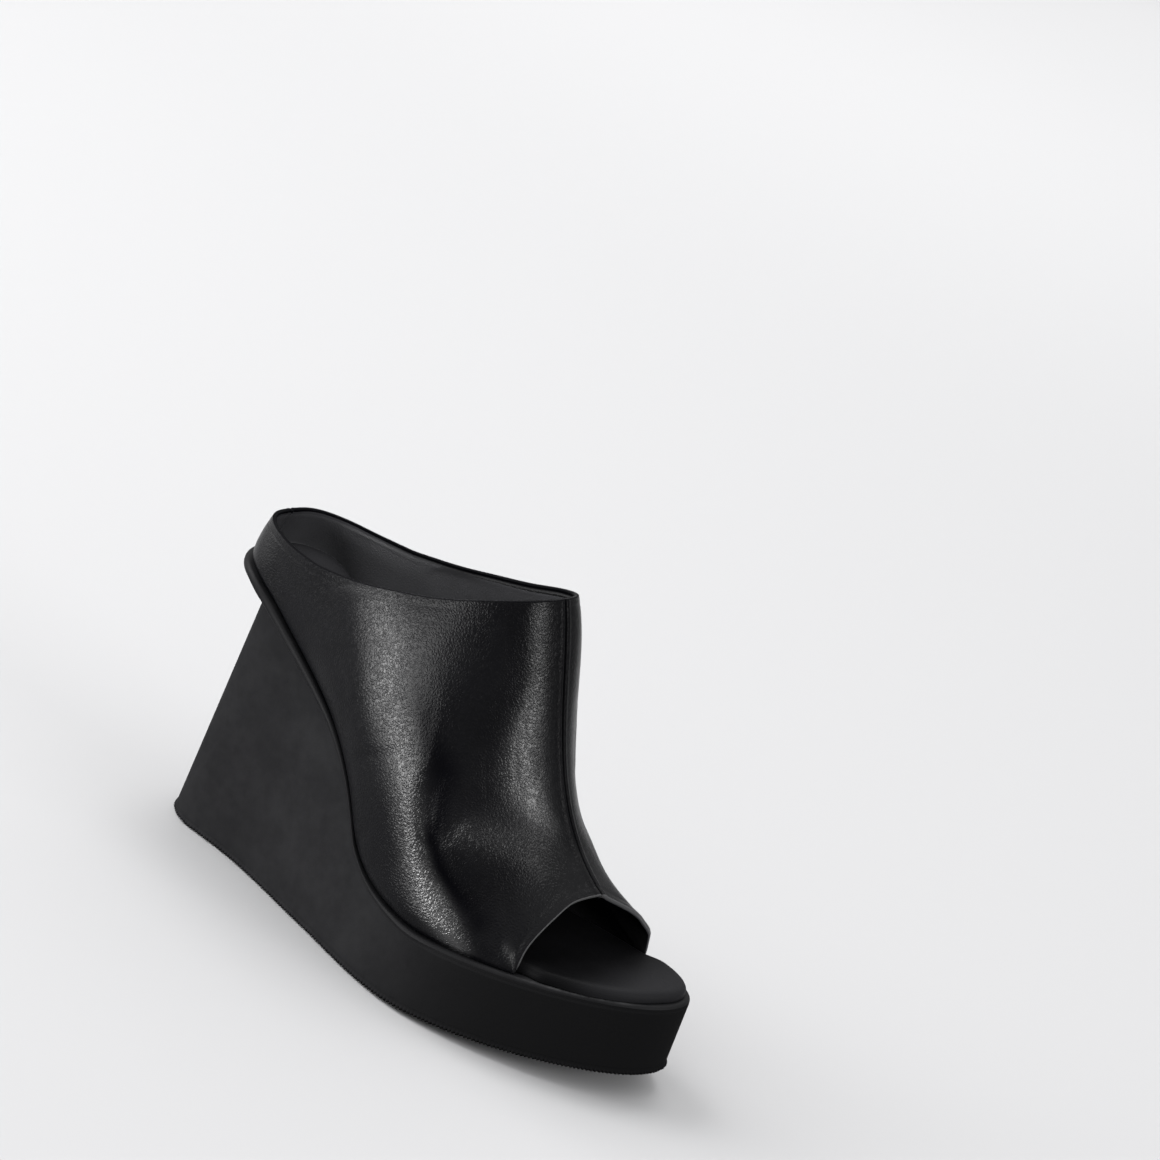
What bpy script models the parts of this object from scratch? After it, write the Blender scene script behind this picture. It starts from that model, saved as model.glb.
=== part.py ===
"""Right wedge mule: wedge and platform in one body, covered board, padded insole and soft hollow upper.

Metres, +Z up. The toe points to +X and the outer side of the foot is at -Y.
The origin is on the floor, under the middle of the shoe.
"""
import bmesh
import bpy
import math
import numpy as np

# Sole
LENGTH = 0.2415            # back of the board's lip to the tip of the outsole
BALL_WIDTH = 0.0850        # outsole across the ball
WAIST_WIDTH = 0.0595       # outsole across the waist
HEEL_WIDTH = 0.0410        # outsole across the heel
HEEL_HEIGHT = 0.1163       # floor to the top of the board at the heel
PLATFORM = 0.0308          # floor to the top of the board at the ball
TOE_SPRING = 0.0108        # rise of the outsole at the toe
OUTSOLE = 0.0030           # thickness of the outsole
HEEL_SETBACK = 0.0065      # outsole heel ahead of the lip
LIP_OVERHANG = 0.0147      # top of the wedge ahead of the lip
TOE_SETBACK = 0.0006       # top of the platform behind the outsole's tip
EDGE_ROUND = 0.0012        # round along the platform's top edge
EDGE_TAPER = 0.0002        # platform's top inside the outsole's side, at the ball
TREAD_ROUND = 0.0006       # round along the outsole's lower edge

# Seat, on which the upper stands
SEAT_WIDTH = 0.0536        # foot of the upper across the heel
SEAT_WAIST = 0.0552        # foot of the upper across the waist
SEAT_BACK = 0.0024         # foot of the upper ahead of the lip
RIM_MARGIN = 0.0022        # board outside the upper at the heel
RIM_MARGIN_FRONT = 0.0009  # board outside the upper from the waist on
RIM_THICK = 0.0034         # board at the heel
RIM_THIN = 0.0014          # board under the ball
RIM_ROUND = 0.0016         # round along the board's sides
TOE_SWING = 0.0232         # tip of the toe towards the inner side
TOE_ROUND = 0.0950         # length over which the toe is rounded

# Insole
INSOLE = 0.0042            # thickness of the pad
INSOLE_ROUND = 0.0030      # rolled edge of the pad
INSOLE_UNDER = 0.0008      # round along the pad's lower edge
ARCH_PAD = 0.0040          # extra padding that smooths the steep arch
INSOLE_TOE = 0.0044        # pad behind the board's tip

# Upper
WALL = 0.0020              # leather and lining
COLLAR_WIDTH = 0.0634      # topline at its widest
COLLAR_SHIFT = 0.0010      # topline's middle towards the inner side
COLLAR_INNER = 0.0019      # topline's inner side above its outer side
CUP_HEIGHT = 0.0182        # topline above the board at the back of the heel
CUP_LEAN = 0.0036          # topline ahead of the foot of the upper at the back
THROAT_X = 0.1397          # front of the topline from the lip
THROAT_RISE = 0.1332       # front of the topline above the platform
PEEP_HEIGHT = 0.0305       # toe opening above the board
PEEP_OUTER = 0.0484        # outer end of the toe opening from the outsole's tip
PEEP_INNER = 0.0334        # inner end of the toe opening from the outsole's tip
PEEP_TOP = 0.0451          # top of the toe opening from the outsole's tip

GAP = 0.0003               # clearance between pieces

# Share of the length, share of the climb from platform to heel
CLIMB = (
    (0.000, 1.000),
    (0.067, 0.982),
    (0.117, 0.935),
    (0.191, 0.824),
    (0.275, 0.688),
    (0.326, 0.590),
    (0.373, 0.465),
    (0.409, 0.340),
    (0.428, 0.262),
    (0.464, 0.132),
    (0.523, 0.043),
    (0.578, 0.014),
    (0.637, 0.000),
    (1.000, 0.000),
)
SPRING_START = 0.530       # share of the length where the toe begins to rise
SWING_START = 0.465        # share of the length where the toe begins to swing inwards

# Share of the collar's length, share of the rise from its back to its front
TOPLINE = (
    (0.00, 0.000),
    (0.10, -0.045),
    (0.20, -0.070),
    (0.30, -0.055),
    (0.40, 0.018),
    (0.50, 0.124),
    (0.62, 0.295),
    (0.75, 0.502),
    (0.88, 0.762),
    (1.00, 1.000),
)

# Folds of the upper between its foot and the topline, as shares of the ball width.
# Way round the shoe from heel to toe, then forwards, outwards and upwards at one third, and at two thirds.
OUTER_FORM = (
    (0.00, -0.010, 0.000, 0.000, -0.010, 0.000, 0.000),
    (0.10, -0.006, 0.012, 0.000, -0.006, 0.010, 0.000),
    (0.25, 0.000, 0.022, 0.000, 0.000, 0.018, 0.000),
    (0.42, 0.010, 0.055, 0.000, 0.010, 0.040, 0.000),
    (0.58, 0.000, 0.065, 0.000, 0.000, 0.060, 0.000),
    (0.72, -0.020, 0.050, -0.025, -0.015, 0.050, -0.018),
    (0.84, -0.045, 0.020, -0.050, -0.030, 0.020, -0.030),
    (0.93, -0.070, 0.008, -0.055, -0.052, 0.008, -0.030),
    (1.00, -0.110, 0.000, -0.064, -0.075, 0.000, -0.021),
)
INNER_FORM = (
    (0.00, -0.010, 0.000, 0.000, -0.010, 0.000, 0.000),
    (0.10, -0.006, 0.012, 0.000, -0.006, 0.010, 0.000),
    (0.25, 0.000, 0.020, 0.000, 0.000, 0.018, 0.000),
    (0.42, 0.010, 0.040, 0.000, 0.010, 0.035, 0.000),
    (0.58, -0.010, 0.045, -0.010, 0.000, 0.045, -0.005),
    (0.72, -0.066, 0.027, -0.028, -0.022, 0.038, -0.021),
    (0.84, -0.160, -0.029, -0.069, -0.075, -0.002, -0.032),
    (0.93, -0.138, -0.033, -0.074, -0.070, 0.004, -0.024),
    (1.00, -0.110, 0.000, -0.064, -0.075, 0.000, -0.021),
)

# Edge of the toe opening from its top down to each end: way along it, share of the half width,
# place ahead of a straight line as a share of the ball width, share of the opening's height.
OUTER_EDGE = (
    (0.00, 0.00, 0.000, 1.00),
    (0.15, 0.16, -0.022, 0.955),
    (0.32, 0.335, -0.032, 0.895),
    (0.56, 0.585, -0.025, 0.71),
    (0.80, 0.855, -0.022, 0.37),
    (1.00, 1.00, 0.000, 0.00),
)
INNER_EDGE = (
    (0.00, 0.00, 0.000, 1.00),
    (0.15, 0.22, 0.009, 0.90),
    (0.32, 0.49, 0.016, 0.765),
    (0.60, 0.82, -0.017, 0.55),
    (0.80, 1.01, -0.026, 0.325),
    (0.90, 1.02, -0.020, 0.17),
    (1.00, 1.00, 0.000, 0.00),
)

PLACES = 48                # even steps along the shoe for ribs and columns
END_ZONE = 0.085           # share of the length where ribs close up at a round end
END_STEPS = 8              # ribs in a round end
EDGE_COLUMNS = 9           # columns from the toe opening's end to its top
ROWS = 10                  # rows of the upper from foot to topline
CORNER_SPREAD = 0.09       # share of the way round over which the opening's corner fades
CORNER_PASSES = 40         # times the folds are evened out above that corner
END_FLAT = 0.0004          # how far the first and last rib stay from the very ends


def through(table, share, column=1):
    """Smooth curve through a table's rows, without overshoot."""
    xs = np.array([row[0] for row in table])
    ys = np.array([row[column] for row in table])
    step = np.diff(xs)
    slope = np.diff(ys) / step
    tangent = np.zeros(len(xs))
    for i in range(1, len(xs) - 1):
        if slope[i - 1] * slope[i] > 0:
            first = 2 * step[i] + step[i - 1]
            second = step[i] + 2 * step[i - 1]
            tangent[i] = (first + second) / (first / slope[i - 1] + second / slope[i])
    tangent[0] = slope[0]
    tangent[-1] = slope[-1]
    share = min(max(share, xs[0]), xs[-1])
    i = min(int(np.searchsorted(xs, share, side="right")) - 1, len(step) - 1)
    t = (share - xs[i]) / step[i]
    rise = (3 - 2 * t) * t * t * (ys[i + 1] - ys[i])
    bend = t * (1 - t) * ((1 - t) * tangent[i] - t * tangent[i + 1]) * step[i]
    return float(ys[i] + rise + bend)


def spring(x):
    """Height of the outsole's underside."""
    share = (x / LENGTH - SPRING_START) / (1 - SPRING_START)
    return TOE_SPRING * max(share, 0.0) ** 1.7


def seat(x):
    """Height of the board's top."""
    return PLATFORM + spring(x) + (HEEL_HEIGHT - PLATFORM) * through(CLIMB, x / LENGTH)


def steepness(x):
    """Stretch of an upright thickness where the board slopes."""
    step = LENGTH / 400
    rise = seat(min(x + step, LENGTH)) - seat(max(x - step, 0.0))
    run = min(x + step, LENGTH) - max(x - step, 0.0)
    return math.hypot(1.0, rise / run)


def swing(x):
    """Centre line of the shoe, which turns to the inner side at the toe."""
    share = (x / LENGTH - SWING_START) / (1 - SWING_START)
    return TOE_SWING * max(share, 0.0) ** 1.6


def half_width(x, back, front, heel, waist, ball):
    """Half the width of an outline that runs from back to front."""
    length = front - back
    widths = ((0.0, heel), (0.14, heel), (0.40, waist), (0.68, ball), (1.0, 0.95 * ball))
    half = through(widths, (x - back) / length) / 2
    reach = (back + heel / 2 - x) / (heel / 2)
    half *= math.sqrt(max(1 - max(reach, 0.0) ** 2, 0.0))
    reach = (x - front + TOE_ROUND) / TOE_ROUND
    half *= max(1 - max(reach, 0.0) ** 2.1, 0.0) ** (1 / 2.1)
    return half


BOARD_TIP = LENGTH - TOE_SETBACK - 0.5 * EDGE_ROUND
SEAT_TIP = BOARD_TIP - RIM_MARGIN_FRONT
SEAT_BALL = BALL_WIDTH - 2 * (EDGE_TAPER + 0.5 * EDGE_ROUND + RIM_MARGIN_FRONT)


def outsole_half(x):
    return half_width(x, HEEL_SETBACK, LENGTH, HEEL_WIDTH, WAIST_WIDTH, BALL_WIDTH)


def seat_half(x, inset=0.0, tip=SEAT_TIP):
    """Half the width of the upper's foot, or of an outline inside it."""
    return half_width(x, SEAT_BACK + inset, tip, SEAT_WIDTH - 2 * inset, SEAT_WAIST - 2 * inset, SEAT_BALL - 2 * inset)


def rim_half(x):
    margin = through(((0.0, RIM_MARGIN), (0.12, RIM_MARGIN), (0.42, RIM_MARGIN_FRONT), (1.0, RIM_MARGIN_FRONT)), x / LENGTH)
    return half_width(x, 0.0, BOARD_TIP, SEAT_WIDTH + 2 * margin, SEAT_WAIST + 2 * margin, SEAT_BALL + 2 * margin)


def platform_half(x):
    """Half the width of the wedge's top, well inside the lip at the heel."""
    heel = SEAT_WIDTH - 2 * (LIP_OVERHANG - SEAT_BACK) * 0.36
    ball = SEAT_BALL + 2 * (RIM_MARGIN_FRONT + 0.5 * EDGE_ROUND)
    return half_width(x, LIP_OVERHANG, LENGTH - TOE_SETBACK, heel, SEAT_WAIST, ball)


def rim_thickness(x):
    thick = through(((0.0, RIM_THICK), (0.20, RIM_THICK), (0.48, RIM_THIN), (1.0, RIM_THIN)), x / LENGTH)
    return thick * steepness(x)


def wedge_top(x):
    return seat(x) - rim_thickness(x) - GAP * steepness(x)


def insole_top(x):
    pad = math.exp(-((x / LENGTH - 0.47) / 0.055) ** 2) * ARCH_PAD
    return seat(x) + (INSOLE + GAP) * steepness(x) + pad


def stations(back, front):
    """Places along the sole, on shared steps, and closer together at the round ends."""
    zone = END_ZONE * LENGTH
    close = [END_FLAT + (zone - END_FLAT) * (i / END_STEPS) ** 2 for i in range(END_STEPS)]
    shared = [LENGTH * i / PLACES for i in range(PLACES + 1)]
    middle = [x for x in shared if back + zone - 1e-6 < x < front - zone + 1e-6]
    return [back + step for step in close] + middle + [front - step for step in reversed(close)]


MIDDLE_X = LENGTH / 2


def placed(x, y, z):
    return (x - MIDDLE_X, y - MIDDLE_Y, z)


def material(name, colour, roughness):
    made = bpy.data.materials.new(name)
    made.use_nodes = True
    shader = made.node_tree.nodes["Principled BSDF"]
    shader.inputs["Base Color"].default_value = (*colour, 1.0)
    shader.inputs["Roughness"].default_value = roughness
    shader.inputs["Metallic"].default_value = 0.0
    return made


def run_through(name, sections, look, capped):
    """Body drawn out from one closed section to the next, then capped or joined round."""
    bm = bmesh.new()
    ring = [bm.verts.new(point) for point in sections[0]]
    edges = [bm.edges.new((ring[i - 1], ring[i])) for i in range(len(ring))]
    first = list(edges)
    if capped:
        bm.faces.new(ring)
    for section in sections[1:]:
        drawn = bmesh.ops.extrude_edge_only(bm, edges=edges)["geom"]
        fresh = {item for item in drawn if isinstance(item, bmesh.types.BMVert)}
        following = []
        for corner, point in zip(ring, section):
            moved = next(edge.other_vert(corner) for edge in corner.link_edges if edge.other_vert(corner) in fresh)
            moved.co = point
            following.append(moved)
        edges = [item for item in drawn if isinstance(item, bmesh.types.BMEdge) and set(item.verts) <= fresh]
        ring = following
    if capped:
        bm.faces.new(ring)
    else:
        bmesh.ops.bridge_loops(bm, edges=first + edges)
    bmesh.ops.recalc_face_normals(bm, faces=bm.faces)
    mesh = bpy.data.meshes.new(name)
    bm.to_mesh(mesh)
    bm.free()
    mesh.materials.append(look)
    body = bpy.data.objects.new(name, mesh)
    bpy.context.collection.objects.link(body)
    mesh.shade_smooth()
    mesh.set_sharp_from_angle(angle=math.radians(40))
    return body


def make_outsole(look):
    ribs = []
    for x in stations(HEEL_SETBACK, LENGTH):
        side, half, low = swing(x), outsole_half(x), spring(x)
        bevel = min(TREAD_ROUND, half / 3)
        rib = [(-half + bevel, low), (half - bevel, low), (half, low + bevel), (half, low + OUTSOLE)]
        rib += [(-half, low + OUTSOLE), (-half, low + bevel)]
        ribs.append([placed(x, side + y, z) for y, z in rib])
    return run_through("outsole", ribs, look, True)


def make_wedge(look):
    ribs = []
    back, front = LIP_OVERHANG, LENGTH - TOE_SETBACK
    for top_x in stations(back, front):
        low_x = HEEL_SETBACK + (LENGTH - HEEL_SETBACK) * (top_x - back) / (front - back)
        low, top = spring(low_x) + OUTSOLE + GAP, wedge_top(top_x)
        low_half, top_half = outsole_half(low_x), platform_half(top_x)
        edge = min(EDGE_ROUND, top_half / 3)
        rib = [(0.0, -1.0, 0.0, 0.0), (0.0, 1.0, 0.0, 0.0)]
        rib += [(0.5, 1.0, 0.0, 0.0), (1.0, 1.0, 0.0, -edge), (1.0, 1.0, -0.3 * edge, -0.3 * edge), (1.0, 1.0, -edge, 0.0)]
        rib += [(1.0, -1.0, edge, 0.0), (1.0, -1.0, 0.3 * edge, -0.3 * edge), (1.0, -1.0, 0.0, -edge), (0.5, -1.0, 0.0, 0.0)]
        ring = []
        for height, hand, shift, drop in rib:
            z = low + (top - low) * height + drop
            share = (z - low) / (top - low)
            x = low_x + (top_x - low_x) * share
            middle = swing(low_x) + (swing(top_x) - swing(low_x)) * share
            half = low_half + (top_half - low_half) * share
            ring.append(placed(x, middle + hand * half + shift, z))
        ribs.append(ring)
    return run_through("wedge", ribs, look, True)


def board_ribs(back, front, half_of, low_of, top_of, low_round, top_round):
    """Ribs of a flat piece that follows the seat, with rounded sides."""
    ribs = []
    for x in stations(back, front):
        half, low, top = half_of(x), low_of(x), top_of(x)
        under, over = min(low_round, half * 0.5), min(top_round, half * 0.5)
        under_z, over_z = min(low_round, 0.45 * (top - low)), min(top_round, 0.5 * (top - low))
        side = [(-under, 0.0), (-0.3 * under, 0.3 * under_z), (0.0, under_z)]
        crown = [(0.0, -over_z), (-0.13 * over, -0.5 * over_z), (-0.5 * over, -0.13 * over_z), (-over, 0.0)]
        right = [(half + dy, low + dz) for dy, dz in side] + [(half + dy, top + dz) for dy, dz in crown]
        left = [(-y, z) for y, z in reversed(right)]
        ribs.append([placed(x, swing(x) + y, z) for y, z in right + left])
    return ribs


def make_rim(look):
    ribs = board_ribs(0.0, BOARD_TIP, rim_half, lambda x: seat(x) - rim_thickness(x), seat, RIM_ROUND, RIM_ROUND)
    return run_through("rim", ribs, look, True)


def make_insole(look):
    inset = WALL + GAP + INSOLE * CUP_LEAN / CUP_HEIGHT
    tip = BOARD_TIP - INSOLE_TOE
    ribs = board_ribs(
        SEAT_BACK + inset, tip,
        lambda x: seat_half(x, inset, tip),
        lambda x: seat(x) + GAP * steepness(x),
        insole_top, INSOLE_UNDER, INSOLE_ROUND)
    return run_through("insole", ribs, look, True)


def run_length(points):
    """Length along a line up to each of its points."""
    return np.concatenate([[0.0], np.cumsum(np.linalg.norm(np.diff(points, axis=0), axis=1))])


def foot_line(hand):
    """Foot of the upper from the back of the heel to the top of the toe opening."""
    end = LENGTH - (PEEP_OUTER if hand < 0 else PEEP_INNER)
    top = LENGTH - PEEP_TOP
    table = OUTER_EDGE if hand < 0 else INNER_EDGE
    zone = END_ZONE * LENGTH
    places = [SEAT_BACK + zone * (i / END_STEPS) ** 2 for i in range(END_STEPS)]
    places += [LENGTH * i / PLACES for i in range(PLACES)]
    places = [x for x in places[:END_STEPS]] + [x for x in places[END_STEPS:] if SEAT_BACK + zone < x < end - WALL]
    line = [(x, swing(x) + hand * seat_half(x), seat(x) + GAP * steepness(x)) for x in places + [end]]
    for i in range(1, EDGE_COLUMNS + 1):
        way = 1 - i / EDGE_COLUMNS
        across = through(table, way, 1)
        x = top + (end - top) * across + BALL_WIDTH * through(table, way, 2)
        y = swing(x) + hand * seat_half(end) * across
        line.append((x, y, seat(x) + GAP + PEEP_HEIGHT * through(table, way, 3)))
    return np.array(line)


def collar_line(hand, ways):
    """Topline from the back of the heel to the front of the throat, at shares of its length."""
    back = SEAT_BACK + CUP_LEAN
    low = HEEL_HEIGHT + CUP_HEIGHT
    high = PLATFORM + THROAT_RISE
    line = []
    for i in range(241):
        turn = math.pi * i / 240
        share = (1 - math.cos(turn)) / 2
        x = back + (THROAT_X - back) * share
        across = max(math.sin(turn), 0.0)
        y = swing(x) + hand * COLLAR_WIDTH / 2 * across ** 0.7 + COLLAR_SHIFT * across
        z = low + (high - low) * through(TOPLINE, share) + max(hand, 0.0) * COLLAR_INNER * across
        line.append((x, y, z))
    line = np.array(line)
    run = run_length(line)
    return np.stack([np.interp(ways * run[-1], run, line[:, axis]) for axis in range(3)], 1)


def softened(line, ways, corner):
    """The line with its corner at one place rounded off, and the rest left alone."""
    blend = np.exp(-((ways - corner) / CORNER_SPREAD) ** 2)[:, None]
    soft = line.copy()
    for _ in range(CORNER_PASSES):
        between = (np.roll(soft, 1, 0) + np.roll(soft, -1, 0)) / 2
        between[0], between[-1] = soft[0], soft[-1]
        soft += (between - soft) * blend * 0.8
    return soft


def upper_side(hand):
    """Outer surface of one side: columns from heel to toe, rows from foot to topline."""
    foot = foot_line(hand)
    run = run_length(foot)
    ways = run / run[-1]
    collar = collar_line(hand, ways)
    table = OUTER_FORM if hand < 0 else INNER_FORM
    corner = ways[-EDGE_COLUMNS - 1]
    form = np.array([[through(table, way, column) for column in range(1, 7)] for way in ways]) * BALL_WIDTH
    turned = np.array([1.0, hand, 1.0])
    low = softened(foot + (collar - foot) / 3 + form[:, :3] * turned, ways, corner)
    high = softened(foot + (collar - foot) * 2 / 3 + form[:, 3:] * turned, ways, corner)
    grid = np.zeros((len(foot), ROWS + 1, 3))
    for j in range(ROWS + 1):
        t = j / ROWS
        grid[:, j] = (1 - 3 * t) * (2 - 3 * t) * (1 - t) / 2 * foot
        grid[:, j] += 9 * t * (2 - 3 * t) * (1 - t) / 2 * low
        grid[:, j] += 9 * t * (3 * t - 1) * (1 - t) / 2 * high
        grid[:, j] += t * (3 * t - 1) * (3 * t - 2) / 2 * collar
    return grid


def upper_surface():
    """Whole outer surface, once round the shoe."""
    outer, inner = upper_side(-1.0), upper_side(1.0)
    return np.concatenate([outer, inner[-2:0:-1]])


def outward(surface):
    """Direction square to the surface at each point."""
    around = np.roll(surface, -1, 0) - np.roll(surface, 1, 0)
    along = np.gradient(surface, axis=1)
    square = np.cross(around, along)
    return square / np.linalg.norm(square, axis=2, keepdims=True)


def make_upper(look):
    surface = upper_surface()
    normal = outward(surface)
    lining = normal.copy()
    standing = surface[:, 0, 2] < np.array([seat(x) for x in surface[:, 0, 0]]) + 3 * GAP
    for j, level in ((0, 0.0), (1, 0.5)):
        lining[standing, j, 2] *= level
    lining /= np.linalg.norm(lining, axis=2, keepdims=True)
    inside = surface - WALL * lining
    edge = (surface[:, -1] + inside[:, -1]) / 2
    up = surface[:, -1] - surface[:, -2]
    edge += up / np.linalg.norm(up, axis=1, keepdims=True) * WALL * 0.35
    rings = [surface[:, j] for j in range(ROWS + 1)] + [edge] + [inside[:, j] for j in range(ROWS, -1, -1)]
    sections = [[placed(*point) for point in ring.tolist()] for ring in rings]
    return run_through("upper", sections, look, False)


for thing in list(bpy.data.objects):
    bpy.data.objects.remove(thing, do_unlink=True)

SIDES = [swing(x) + hand * outsole_half(x) for x in stations(HEEL_SETBACK, LENGTH) for hand in (-1, 1)]
SIDES += upper_surface()[..., 1].ravel().tolist()
MIDDLE_Y = (min(SIDES) + max(SIDES)) / 2

make_outsole(material("outsole rubber", (0.012, 0.012, 0.013), 0.75))
make_wedge(material("wedge cover", (0.018, 0.018, 0.019), 0.85))
make_rim(material("board cover", (0.014, 0.014, 0.016), 0.55))
make_insole(material("insole leather", (0.012, 0.012, 0.013), 0.50))
make_upper(material("upper leather", (0.010, 0.010, 0.013), 0.32))
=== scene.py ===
"""Right wedge mule in soft black leather on a pale floor, seen from its outer side and from above.

Metres, +Z up, in the part's own frame. The pieces follow the same sizes as the part's solids and add the folds,
seams, turned edges and materials.
"""

import math

import bmesh
import bpy
import numpy as np
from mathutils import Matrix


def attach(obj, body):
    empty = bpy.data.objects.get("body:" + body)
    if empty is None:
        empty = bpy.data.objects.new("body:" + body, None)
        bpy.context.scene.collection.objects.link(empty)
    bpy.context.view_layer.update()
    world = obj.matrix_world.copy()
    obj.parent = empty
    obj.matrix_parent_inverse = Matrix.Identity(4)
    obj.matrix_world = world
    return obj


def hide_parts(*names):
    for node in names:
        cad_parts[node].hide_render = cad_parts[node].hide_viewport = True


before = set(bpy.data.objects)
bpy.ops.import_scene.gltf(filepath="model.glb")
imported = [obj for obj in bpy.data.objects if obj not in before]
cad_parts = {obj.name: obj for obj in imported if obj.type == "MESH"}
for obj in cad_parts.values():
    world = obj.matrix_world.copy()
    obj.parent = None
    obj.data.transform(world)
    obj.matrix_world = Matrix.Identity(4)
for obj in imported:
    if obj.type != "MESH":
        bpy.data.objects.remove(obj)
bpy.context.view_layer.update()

# Sole
LENGTH = 0.2415            # back of the board's lip to the tip of the outsole
BALL_WIDTH = 0.0850        # outsole across the ball
WAIST_WIDTH = 0.0595       # outsole across the waist
HEEL_WIDTH = 0.0410        # outsole across the heel
HEEL_HEIGHT = 0.1163       # floor to the top of the board at the heel
PLATFORM = 0.0308          # floor to the top of the board at the ball
TOE_SPRING = 0.0108        # rise of the outsole at the toe
OUTSOLE = 0.0030           # thickness of the outsole
HEEL_SETBACK = 0.0065      # outsole heel ahead of the lip
LIP_OVERHANG = 0.0147      # top of the wedge ahead of the lip
TOE_SETBACK = 0.0006       # top of the platform behind the outsole's tip
EDGE_ROUND = 0.0012        # round along the platform's top edge
EDGE_TAPER = 0.0002        # platform's top inside the outsole's side, at the ball

# Seat, on which the upper stands
SEAT_WIDTH = 0.0536        # foot of the upper across the heel
SEAT_WAIST = 0.0552        # foot of the upper across the waist
SEAT_BACK = 0.0024         # foot of the upper ahead of the lip
RIM_MARGIN = 0.0022        # board outside the upper at the heel
RIM_MARGIN_FRONT = 0.0009  # board outside the upper from the waist on
RIM_THICK = 0.0034         # board at the heel
RIM_THIN = 0.0014          # board under the ball
TOE_SWING = 0.0232         # tip of the toe towards the inner side
TOE_ROUND = 0.0950         # length over which the toe is rounded

# Insole
INSOLE = 0.0042            # thickness of the pad
ARCH_PAD = 0.0040          # extra padding that smooths the steep arch
INSOLE_TOE = 0.0044        # pad behind the board's tip

# Upper
WALL = 0.0020              # leather and lining
COLLAR_WIDTH = 0.0634      # topline at its widest
COLLAR_SHIFT = 0.0010      # topline's middle towards the inner side
COLLAR_INNER = 0.0019      # topline's inner side above its outer side
CUP_HEIGHT = 0.0182        # topline above the board at the back of the heel
CUP_LEAN = 0.0036          # topline ahead of the foot of the upper at the back
THROAT_X = 0.1397          # front of the topline from the lip
THROAT_RISE = 0.1332       # front of the topline above the platform
PEEP_HEIGHT = 0.0305       # toe opening above the board
PEEP_OUTER = 0.0484        # outer end of the toe opening from the outsole's tip
PEEP_INNER = 0.0334        # inner end of the toe opening from the outsole's tip
PEEP_TOP = 0.0451          # top of the toe opening from the outsole's tip

GAP = 0.0003               # clearance between pieces
SEAM = 0.00005             # clearance left where two pieces' sides run on
BOARD_SPREAD = 0.00035     # front of the board nearer the platform's side, so that one round runs over both
FRONT_ROUND = 0.0022       # width of that round
PAD_SPREAD = 0.0030        # pad wider ahead of the upper's ends
PAD_REACH = 0.0016         # pad longer at the toe
PAD_ROLL = 0.0036          # round along the pad's edge
LIP_ROUND = 0.0016         # round over the board's lip
LIP_UNDER = 0.0010         # round under it
TURNED = 0.0014            # leather turned in over the lining at the topline
TURN_BULGE = 0.35          # how far a turned edge bulges, as a share of the wall
TURN_DIP = 0.00018         # depth of the line along a turned edge
TOOTH = 0.0016             # pitch of the outsole's toothed edge
TOOTH_OUT = 0.00095        # how far its teeth stand out
TOOTH_UP = 0.0005          # how far their tips rise

# Share of the length, share of the climb from platform to heel
CLIMB = (
    (0.000, 1.000),
    (0.067, 0.982),
    (0.117, 0.935),
    (0.191, 0.824),
    (0.275, 0.688),
    (0.326, 0.590),
    (0.373, 0.465),
    (0.409, 0.340),
    (0.428, 0.262),
    (0.464, 0.132),
    (0.523, 0.043),
    (0.578, 0.014),
    (0.637, 0.000),
    (1.000, 0.000),
)
SPRING_START = 0.530       # share of the length where the toe starts to rise
SWING_START = 0.465        # share of the length where it starts to turn

# Share of the collar's length, share of the rise from its back to its front
TOPLINE = (
    (0.00, 0.000),
    (0.10, -0.045),
    (0.20, -0.070),
    (0.30, -0.055),
    (0.40, 0.018),
    (0.50, 0.124),
    (0.62, 0.295),
    (0.75, 0.502),
    (0.88, 0.762),
    (1.00, 1.000),
)

# Form of the upper between its foot and the topline, as shares of the ball width.
# Way round the shoe from heel to toe, then forwards, outwards and upwards at one third, and at two thirds.
OUTER_FORM = (
    (0.00, -0.010, 0.000, 0.000, -0.010, 0.000, 0.000),
    (0.10, -0.006, 0.012, 0.000, -0.006, 0.010, 0.000),
    (0.25, 0.000, 0.022, 0.000, 0.000, 0.018, 0.000),
    (0.42, 0.010, 0.055, 0.000, 0.010, 0.040, 0.000),
    (0.58, 0.000, 0.065, 0.000, 0.000, 0.060, 0.000),
    (0.72, -0.020, 0.050, -0.025, -0.015, 0.050, -0.018),
    (0.84, -0.045, 0.020, -0.050, -0.030, 0.020, -0.030),
    (0.93, -0.070, 0.008, -0.055, -0.052, 0.008, -0.030),
    (1.00, -0.110, 0.000, -0.064, -0.075, 0.000, -0.021),
)
INNER_FORM = (
    (0.00, -0.010, 0.000, 0.000, -0.010, 0.000, 0.000),
    (0.10, -0.006, 0.012, 0.000, -0.006, 0.010, 0.000),
    (0.25, 0.000, 0.020, 0.000, 0.000, 0.018, 0.000),
    (0.42, 0.010, 0.040, 0.000, 0.010, 0.035, 0.000),
    (0.58, -0.010, 0.045, -0.010, 0.000, 0.045, -0.005),
    (0.72, -0.066, 0.027, -0.028, -0.022, 0.038, -0.021),
    (0.84, -0.160, -0.029, -0.069, -0.075, -0.002, -0.032),
    (0.93, -0.138, -0.033, -0.074, -0.070, 0.004, -0.024),
    (1.00, -0.110, 0.000, -0.064, -0.075, 0.000, -0.021),
)

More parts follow.
